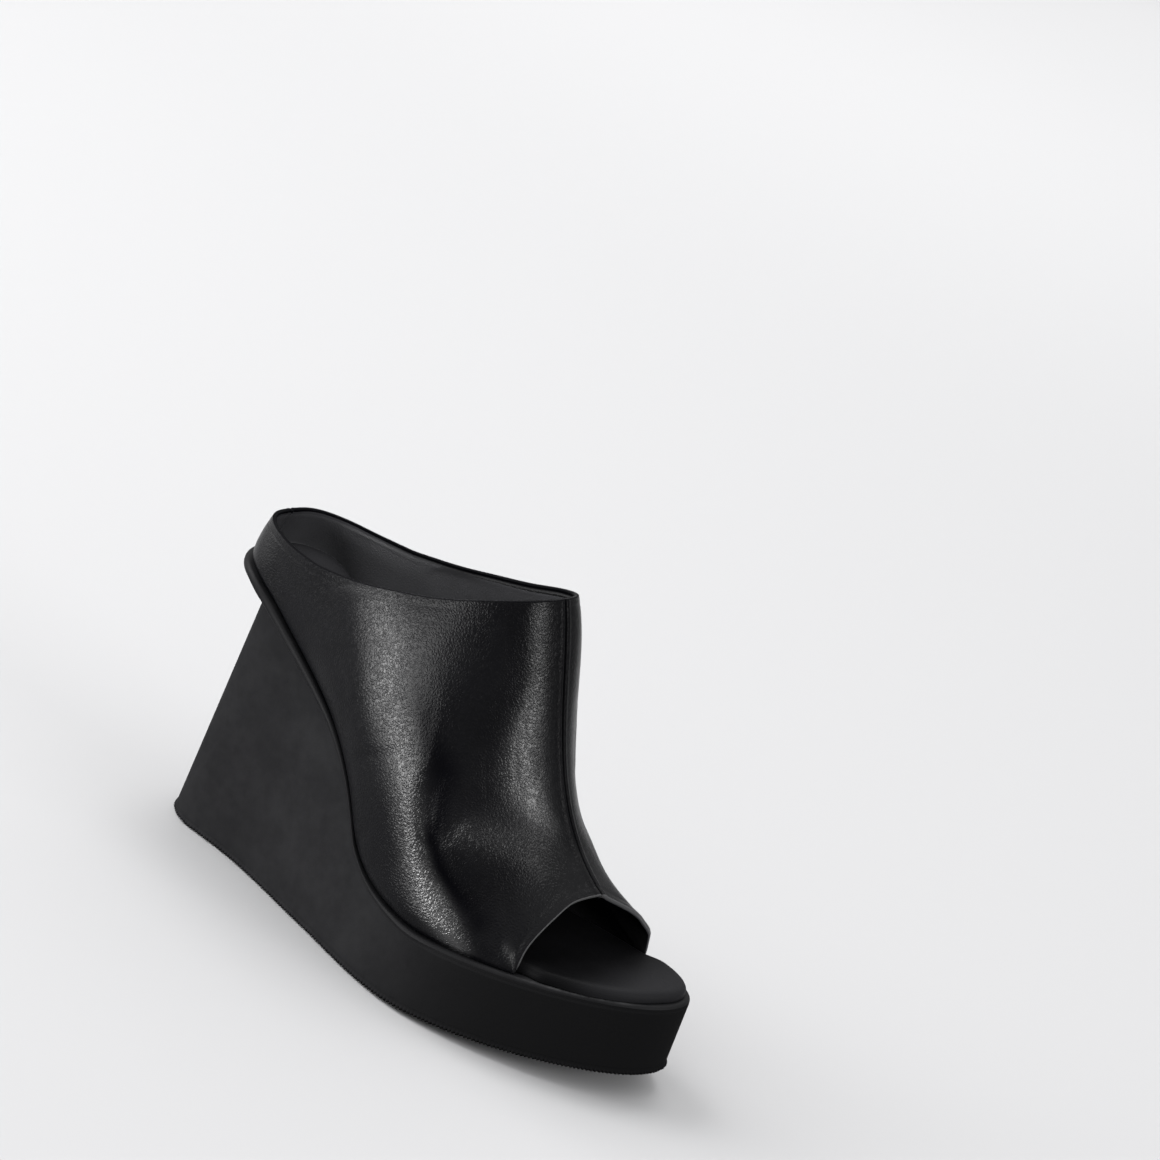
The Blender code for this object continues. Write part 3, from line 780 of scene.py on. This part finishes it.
def make_wedge():
    """Wedge and platform: straight walls from the outsole to the board, with a soft top edge."""
    back, front = LIP_OVERHANG, LENGTH - TOE_SETBACK
    top_edge = outline(back, front, platform_half, SOLE_COLUMNS)
    share = (top_edge[:, 0] - back) / (front - back)
    low_x = HEEL_SETBACK + (LENGTH - HEEL_SETBACK) * share
    hand = np.where(np.arange(len(share)) <= len(share) // 2, -1.0, 1.0)
    low_half = outsole_half(low_x)
    low_half[np.isnan(low_half)] = 0.0
    low_edge = np.column_stack([low_x, swing(low_x) + hand * low_half])
    top_centre = centre_line(top_edge, back + 0.022, front - TOE_CENTRE)
    low_centre = centre_line(low_edge, HEEL_SETBACK + 0.018, LENGTH - TOE_CENTRE)
    low_z, top_z = spring(low_x) + OUTSOLE + SEAM, visible_top(top_edge[:, 0])
    front_share = at_front(top_edge[:, 0])
    rows = [np.column_stack([low_centre, spring(low_centre[:, 0]) + OUTSOLE + SEAM])]
    for rise in (0.0, 0.00005, 0.0002):
        rows.append(np.column_stack([low_edge, low_z + rise]))
    for level in np.linspace(0.0, 1.0, 26)[1:-1]:
        z = low_z + (top_z - low_z) * level
        keep = np.minimum(z, top_z - EDGE_ROUND)
        part = ((keep - low_z) / (top_z - low_z))[:, None]
        rows.append(np.column_stack([low_edge + (top_edge - low_edge) * part, keep]))
    for angle in np.radians([0, 18, 36, 54, 72, 90]):
        inset = EDGE_ROUND * (1 - math.cos(angle)) * (1 - front_share)
        inset = inset + front_round(EDGE_ROUND * math.sin(angle)) * front_share
        z = top_z - EDGE_ROUND * (1 - math.sin(angle))
        rows.append(np.column_stack([inside(top_edge, top_centre, 0.0, inset), z]))
    for level in (0.25, 0.6, 1.0):
        points = inside(top_edge, top_centre, level, EDGE_ROUND)
        rows.append(np.column_stack([points, visible_top(points[:, 0])]))
    return woven("covered_wedge", np.array(rows), {"painted_toe_shade": painted_toe_shade(rows)})


def make_rim():
    """Covered board: a thin strip all round, and a rounded lip behind the heel."""
    tip = BOARD_TIP + BOARD_SPREAD
    edge = outline(0.0, tip, lambda x: rim_half(x * BOARD_TIP / tip) + BOARD_SPREAD * at_front(x), SOLE_COLUMNS)
    centre = centre_line(edge, 0.026, BOARD_TIP - TOE_CENTRE)
    front_share = at_front(edge[:, 0])
    run = run_length(np.concatenate([edge, edge[:1]]))[:-1]
    # scuffs on the outer side by the toe, partly a painted highlight along the top of the board
    from_tip = LENGTH - edge[:, 0]
    scuff_and_highlight_band = (1 - smooth_step(from_tip, 0.020, 0.052)) * smooth_step(from_tip, 0.006, 0.014)
    scuff_and_highlight_band = scuff_and_highlight_band * (edge[:, 1] < swing(edge[:, 0]))
    scuff_and_highlight_band = scuff_and_highlight_band * (0.62 + 0.22 * np.sin(run / 0.00150) + 0.16 * np.sin(run / 0.00053))
    rows, scuffs_and_highlight = [], []

    def add(share, inset, level):
        front = front_round(EDGE_ROUND + RIM_THIN * level) - front_round(EDGE_ROUND)
        points = inside(edge, centre, share, inset * (1 - front_share) + front * front_share)
        x = points[:, 0]
        rows.append(np.column_stack([points, seat(x) - rim_thickness(x) * (1 - level)]))
        scuffs_and_highlight.append(scuff_and_highlight_band * hump(level - 0.95, 0.25) * (share < 0.3))

    add(1.0, 0.0, 0.0)
    add(0.4, LIP_ROUND, 0.0)
    for angle in np.radians([-90, -60, -30]):
        add(0.0, LIP_UNDER * (1 - math.cos(angle)), 0.34 * (1 + math.sin(angle)))
    for level in (0.34, 0.42, 0.5):
        add(0.0, 0.0, level)
    for angle in np.radians([15, 30, 45, 60, 75, 90]):
        add(0.0, LIP_ROUND * (1 - math.cos(angle)), 0.5 + 0.5 * math.sin(angle))
    for share in (0.08, 0.2, 0.45, 1.0):
        add(share, LIP_ROUND, 1.0)
    return woven("covered_board", np.array(rows), {"scuffs_and_highlight": np.array(scuffs_and_highlight)})


def make_insole():
    """Padded insole with a rolled edge."""
    inset = WALL + GAP + INSOLE * CUP_LEAN / CUP_HEIGHT
    back, tip = SEAT_BACK + inset, BOARD_TIP - INSOLE_TOE
    edge = outline(back, tip, lambda x: seat_half(x, inset, tip), SOLE_COLUMNS)
    centre = centre_line(edge, back + 0.024, tip - 0.032)
    out = edge - centre
    out /= np.linalg.norm(out, axis=1, keepdims=True)
    ends = np.where(out[:, 1] < 0, LENGTH - PEEP_OUTER, LENGTH - PEEP_INNER)
    spread = PAD_SPREAD * np.abs(out[:, 1]) + PAD_REACH * np.maximum(out[:, 0], 0.0)
    edge = edge + out * (spread * smooth_step(edge[:, 0] - ends, 0.0005, 0.0100))[:, None]
    rows, painted_insole_light = [], []

    def add(share, inward, level, lift=0.0):
        points = inside(edge, centre, share, inward)
        x = points[:, 0]
        low, top = seat(x) + SEAM * steepness(x), insole_top(x)
        rows.append(np.column_stack([points, low + (top - low) * level + lift]))
        # painted light: lighter at the heel seat and towards the toe
        at_heel, at_toe = 1 - smooth_step(x, 0.02, 0.10), smooth_step(x, LENGTH - 0.036, LENGTH - 0.012)
        painted_insole_light.append(at_heel + 0.60 * at_toe)

    add(1.0, 0.0, 0.0)
    add(0.3, 0.0008, 0.0)
    add(0.0, 0.0002, 0.0)
    add(0.0, 0.0, 0.06)
    for angle in np.radians([0, 10, 20, 30, 40, 50, 60, 72, 84]):
        add(0.0, PAD_ROLL * (1 - math.cos(angle)), 0.16 + 0.84 * math.sin(angle))
    # the pad is slightly hollow towards its middle
    for share, lift in (
        (0.04, 0.0),
        (0.10, -0.0001),
        (0.20, -0.0003),
        (0.35, -0.0006),
        (0.55, -0.0009),
        (0.80, -0.0011),
        (1.00, -0.0011),
    ):
        add(share, PAD_ROLL, 1.0, lift)
    return woven("insole_pad", np.array(rows), {"painted_insole_light": np.array(painted_insole_light)})


# Upper


def between(grid, i, j):
    """Points of the grid at places between its columns and rows."""
    low_i, low_j = np.minimum(i.astype(int), len(grid) - 2), np.minimum(j.astype(int), grid.shape[1] - 2)
    along, up = (i - low_i)[:, None], (j - low_j)[:, None]
    near = grid[low_i, low_j] * (1 - up) + grid[low_i, low_j + 1] * up
    far = grid[low_i + 1, low_j] * (1 - up) + grid[low_i + 1, low_j + 1] * up
    return near * (1 - along) + far * along


def nearest_on(points, line):
    """Distance of each point from a line, and the share of the line's length where it is nearest."""
    nearest = np.full(points.shape[:2], 1.0)
    share = np.zeros(points.shape[:2])
    for part, point in zip(np.linspace(0.0, 1.0, len(line)), line):
        reach = np.linalg.norm(points - point, axis=2)
        closer = reach < nearest
        nearest[closer] = reach[closer]
        share[closer] = part
    return nearest, share


def folded(surface, sides, rises):
    """How far each point of the surface stands out for the folds, and its share of the full gloss."""
    relief = np.zeros(surface.shape[:2])
    gloss = np.full(surface.shape[:2], GLOSS)
    s = np.linspace(0.0, 1.0, 161)
    bend = [(1 - s) * (1 - 2 * s), 4 * s * (1 - s), s * (2 * s - 1)]
    for grid, columns, slots in sides:
        def line_of(way, rise):
            i = np.interp(way, columns, np.arange(len(columns)))
            j = np.interp(rise, rises, np.arange(len(rises)))
            return between(grid, i, j)

        for row in FOLDS:
            way = sum(part * value for part, value in zip(bend, row[0:6:2]))
            rise = sum(part * value for part, value in zip(bend, row[1:6:2]))
            width, height = row[6:]
            nearest, share = nearest_on(surface[slots], line_of(way, rise))
            fade = 0.1 + 0.9 * np.sqrt(np.sin(math.pi * share))
            relief[slots] += height * fade * hump(nearest, width)
        for name in dict.fromkeys(row[0] for row in SHINE):
            table = np.array([row[1:] for row in SHINE if row[0] == name])
            spots = np.linspace(0.0, 1.0, len(table))
            way, rise = (np.interp(s, spots, table[:, column]) for column in (0, 1))
            nearest, share = nearest_on(surface[slots], line_of(way, rise))
            width, full = (np.interp(share, spots, table[:, column]) for column in (2, 3))
            part = hump(nearest, width)
            gloss[slots] = gloss[slots] * (1 - part) + full * part
    return relief, gloss


def turned_edge(outer_edge, inner_edge, away, angles):
    """Rows round a turned edge between the two faces, with a faint line along it."""
    middle, across = (outer_edge + inner_edge) / 2, (outer_edge - inner_edge) / 2
    rows = []
    for angle in np.radians(angles):
        dip = TURN_DIP * math.exp(-(((math.degrees(angle) - 80) / 14) ** 2))
        rows.append(middle + across * math.cos(angle) + away * (WALL * TURN_BULGE * math.sin(angle) - dip))
    return rows


def make_upper():
    rises = crowded(UPPER_ROWS, ((0.0, 0.03, 2.5), (1.0, 0.02, 4)))
    outer, outer_ways = upper_side(-1.0, rises)
    inner, inner_ways = upper_side(1.0, rises)
    surface = np.concatenate([outer, inner[-2:0:-1]])
    count = len(surface)
    sides = (
        (outer, outer_ways, np.arange(len(outer))),
        (inner, inner_ways, np.array([(count - i) % count for i in range(len(inner))])),
    )
    relief, gloss = folded(surface, sides, rises)
    # distances along the leather from the foot, the topline, the front seam and the back seam
    steps = np.linalg.norm(np.diff(surface, axis=1), axis=2)
    from_foot = np.concatenate([np.zeros((count, 1)), np.cumsum(steps, axis=1)], axis=1)
    from_top = from_foot[:, -1:] - from_foot
    front = np.linalg.norm(surface - surface[len(outer) - 1][None], axis=2)
    back = np.linalg.norm(surface - surface[0][None], axis=2)
    standing = surface[:, 0, 2] < seat(surface[:, 0, 0]) + 3 * GAP
    free = smooth_step(surface[:, 0, 2] - seat(surface[:, 0, 0]), 0.0008, 0.0050)[:, None]
    calm = smooth_step(from_foot, 0.0, 0.008) * smooth_step(from_top, 0.0, 0.004)
    relief *= calm
    followed = {
        "front seam": (front, 1.0),
        "back seam": (back, 1.0),
        "toe opening": (from_foot, free),
        "foot": (from_foot, 1 - free),
        "topline": (from_top, 1.0),
    }
    for name, place, width, height in EDGE_LINES:
        distance, part = followed[name]
        relief += height * hump(distance - place, width) * part
    normal = outward(surface)
    surface = surface + relief[:, :, None] * normal
    lining = normal.copy()
    for j, low in enumerate(from_foot.mean(axis=0)):
        level = min(low / 0.010, 1.0)
        lining[standing, j, 2] *= level
    lining /= np.linalg.norm(lining, axis=2, keepdims=True)
    inside_face = surface - WALL * lining
    rows = [surface[:, j] for j in range(UPPER_ROWS + 1)]
    # marks of each row: a painted highlight along the edges, painted shade deeper inside the shoe, and gloss
    painted_edge_highlight = [np.zeros(count)] * (UPPER_ROWS + 1)
    painted_depth_shade = [np.zeros(count)] * (UPPER_ROWS + 1)
    shine = [gloss[:, j] for j in range(UPPER_ROWS + 1)]
    # over the topline
    up = surface[:, -1] - surface[:, -3]
    up /= np.linalg.norm(up, axis=1, keepdims=True)
    turned = turned_edge(surface[:, -1], inside_face[:, -1], up, TURN_ANGLES)
    rows += turned
    painted_edge_highlight += [np.zeros(count)] * len(turned)
    painted_depth_shade += [np.zeros(count)] * len(turned)
    shine += [np.full(count, 0.01)] * len(turned)
    # down the inside
    inner_rows = list(range(UPPER_ROWS, UPPER_ROWS - 14, -1)) + list(range(UPPER_ROWS - 14, 0, -3)) + [0]
    lining_start = len(rows) + int(np.argmax(from_top[:, inner_rows].mean(axis=0) > TURNED))
    rows += [inside_face[:, j] for j in inner_rows]
    # painted highlight along the edge of the turned-in leather
    painted_edge_highlight += [hump(from_top[:, j] - TURNED, 0.0004) for j in inner_rows]
    # painted shade, darker deeper inside the shoe
    painted_depth_shade += [smooth_step(from_top[:, j], 0.020, 0.075) for j in inner_rows]
    for j in inner_rows:
        below = from_top[:, j]
        shine.append(0.01 + 0.36 * smooth_step(below, TURNED, 1.3 * TURNED) - 0.35 * smooth_step(below, 0.015, 0.060))
    lining_end = len(rows) - 1
    # under the foot and along the toe opening's edge
    down = surface[:, 0] - surface[:, 2]
    down /= np.linalg.norm(down, axis=1, keepdims=True)
    turned = turned_edge(surface[:, 0], inside_face[:, 0], down * free, TURN_ANGLES[::-1])
    rows += turned
    # painted highlight along the toe opening's edge
    painted_edge_highlight += [free[:, 0]] * len(turned)
    painted_depth_shade += [np.zeros(count)] * len(turned)
    shine += [np.full(count, GLOSS)] * len(turned)
    rows.append(surface[:, 0])
    for marks_of_rows in (painted_edge_highlight, painted_depth_shade, shine):
        marks_of_rows.append(marks_of_rows[0])
    marks = {"edge": np.array(painted_edge_highlight), "painted_depth_shade": np.array(painted_depth_shade), "gloss": np.array(shine)}
    return woven("leather_upper", np.array(rows), marks, lambda row: int(lining_start <= row < lining_end + 3))


PIECES = (
    (make_outsole(), "outsole", "outsole_rubber", (OUTSOLE_RUBBER,)),
    (make_wedge(), "wedge", "wedge_cover", (WEDGE_COVER,)),
    (make_rim(), "rim", "board_cover", (BOARD_COVER,)),
    (make_insole(), "insole", "insole_leather", (INSOLE_LEATHER,)),
    (make_upper(), "upper", "upper_leather", (UPPER_LEATHER, LINING)),
)
for piece, node, slot, looks in PIECES:
    for made in looks:
        piece.data.materials.append(made)
    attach(piece, "root")
    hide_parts(node)


# Floor, light and camera

floor_look = bpy.data.materials.new("pale floor")
floor_look.use_nodes = True
floor_shader = floor_look.node_tree.nodes["Principled BSDF"]
floor_shader.inputs["Base Color"].default_value = (0.207, 0.207, 0.210, 1.0)
floor_shader.inputs["Roughness"].default_value = 0.9
bpy.ops.mesh.primitive_plane_add(size=30.0, location=(0.0, 0.0, -0.0002))
floor = bpy.context.object
floor.name = "floor"
floor.data.materials.append(floor_look)

SKY_LOW, SKY_RISE = 0.06, 2.6
world = bpy.data.worlds.new("studio")
bpy.context.scene.world = world
world.use_nodes = True
# brighter overhead than along the horizon
sky = Nodes(world.node_tree)
upright = sky.add("ShaderNodeSeparateXYZ")
sky.link(sky.add("ShaderNodeTexCoord").outputs["Generated"], upright.inputs[0])
strength = sky.maths("MULTIPLY_ADD", upright.outputs["Z"], SKY_RISE)
strength.node.inputs[2].default_value = SKY_LOW
sky.link(strength, world.node_tree.nodes["Background"].inputs["Strength"])
world.node_tree.nodes["Background"].inputs["Color"].default_value = (1.0, 1.0, 1.0, 1.0)


def area_light(name, width, height, brightness):
    """Light with an even, unseen face, as bright whatever its size."""
    data = bpy.data.lights.new(name, "AREA")
    data.shape = "RECTANGLE"
    data.size, data.size_y = width, height
    data.energy = brightness * math.pi * width * height
    lamp = bpy.data.objects.new(name, data)
    bpy.context.collection.objects.link(lamp)
    lamp.visible_camera = False
    return lamp


def soft_box(name, turn, lift, distance, width, height, brightness):
    """Soft box that faces the shoe, at an angle round it from its toe and an angle above it."""
    lamp = area_light(name, width, height, brightness)
    turn, lift = math.radians(turn), math.radians(lift)
    flat = distance * math.cos(lift)
    lamp.location = (flat * math.cos(turn), flat * math.sin(turn), SHOE_MIDDLE + distance * math.sin(lift))
    lamp.rotation_euler = (math.radians(90) - lift, 0.0, turn + math.radians(90))
    return lamp


SHOE_MIDDLE = 0.5 * HEEL_HEIGHT
side_box = soft_box("outer side box", -108.0, 4.0, 0.32, 0.14, 0.20, 21.0)
soft_box("heel box", -155.0, 15.0, 2.80, 2.20, 1.80, 4.8)
soft_box("toe box", 2.0, 20.0, 2.40, 1.00, 1.12, 13.0)
soft_box("key box", -162.0, 45.0, 3.00, 2.00, 2.00, 12.0)
soft_box("overhead box", 120.0, 75.0, 2.60, 0.80, 0.80, 16.0)

# the side box stands close to the shoe, and is flagged off the floor
lit = bpy.data.collections.new("lit by the side box")
for piece, *_ in PIECES:
    lit.objects.link(piece)
side_box.light_linking.receiver_collection = lit

# box over the far floor, with a grid that keeps its light off the shoe
back_box = area_light("back box", 4.0, 6.0, 1.8)
back_box.data.spread = math.radians(100)
back_box.location = (-2.0, 4.5, 2.0)

camera_data = bpy.data.cameras.new("camera")
camera_data.sensor_width = 36.0
camera_data.lens = 86.9
camera = bpy.data.objects.new("camera", camera_data)
bpy.context.collection.objects.link(camera)
camera.location = (0.5155, -0.8663, 0.5144)
camera.rotation_euler = tuple(math.radians(turn) for turn in (69.80, -20.37, 37.09))
camera_data.clip_start = 0.05
bpy.context.scene.camera = camera

bpy.context.scene.view_settings.view_transform = "Standard"
bpy.context.view_layer.update()
